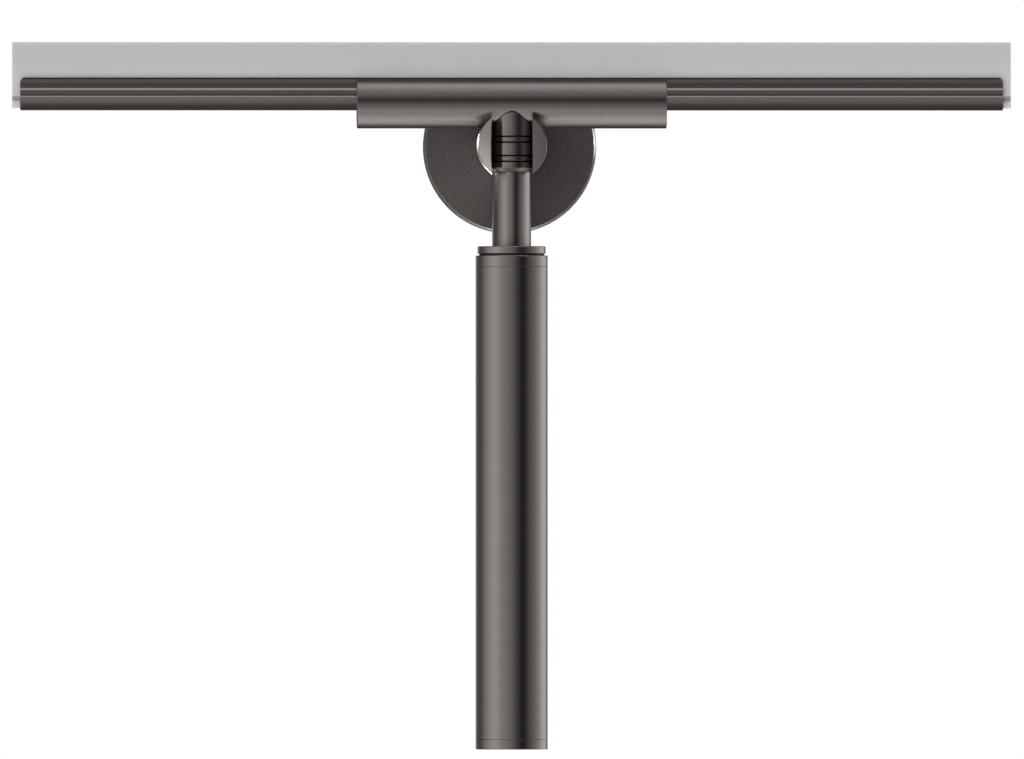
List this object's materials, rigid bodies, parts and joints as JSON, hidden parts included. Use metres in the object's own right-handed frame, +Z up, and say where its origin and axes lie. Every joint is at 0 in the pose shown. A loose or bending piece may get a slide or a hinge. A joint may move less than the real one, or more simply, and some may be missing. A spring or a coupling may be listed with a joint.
{
  "type": "window cleaning squeegee",
  "caption": "Squeegee with a rubber blade in a grooved rail, a cross tube, a turned neck and stem and a round handle, hung in the slotted boss of a round wall holder.",
  "frame": {"origin": "centre of the holder's wall plate, on the wall", "axes": "+X along the blade to the right as seen from the room, +Y into the wall, +Z up; the squeegee hangs towards -Y with its handle down"},
  "size_m": [0.345, 0.051, 0.2442],
  "materials": {
    "graphite_metal": "brushed, dark graphite, satin",
    "plain_steel": "plain machined steel",
    "blade_rubber": "pale grey silicone rubber, smooth, slightly translucent",
    "black_rubber": "matt black rubber",
    "black_plastic": "matt black moulded plastic"
  },
  "bodies": {
    "holder": {"holder_boss": "graphite_metal", "boss_set_screw": "plain_steel", "spigot": "plain_steel", "spigot_screw": "plain_steel", "wall_plate": "plain_steel", "rosette": "graphite_metal", "rosette_o_ring": "black_rubber"},
    "squeegee": {"blade_rail": "graphite_metal", "cross_tube": "graphite_metal", "clamp_bar": "plain_steel", "saddle_gasket": "black_rubber", "left_end_plug": "black_plastic", "right_end_plug": "black_plastic", "rail_set_screws": "plain_steel", "neck": "graphite_metal", "upper_ring": "graphite_metal", "lower_ring": "graphite_metal", "stem": "graphite_metal", "tie_rod": "plain_steel", "rod_washer": "plain_steel", "rod_nut": "plain_steel", "collar": "graphite_metal", "handle_washer": "black_rubber", "handle_top_cap": "graphite_metal", "top_cap_seal": "black_rubber", "handle_tube": "graphite_metal", "bottom_cap_seal": "black_rubber", "handle_bottom_cap": "graphite_metal"},
    "blade": {"rubber_blade": "blade_rubber"}
  },
  "joints": [
    {"name": "squeegee_lift", "type": "slide", "parent": "holder", "child": "squeegee", "axis": [0, 0, 1], "range_m": [0, 0.022]},
    {"name": "blade_slide", "type": "slide", "parent": "squeegee", "child": "blade", "axis": [1, 0, 0], "range_m": [0, 0.3]}
  ]
}
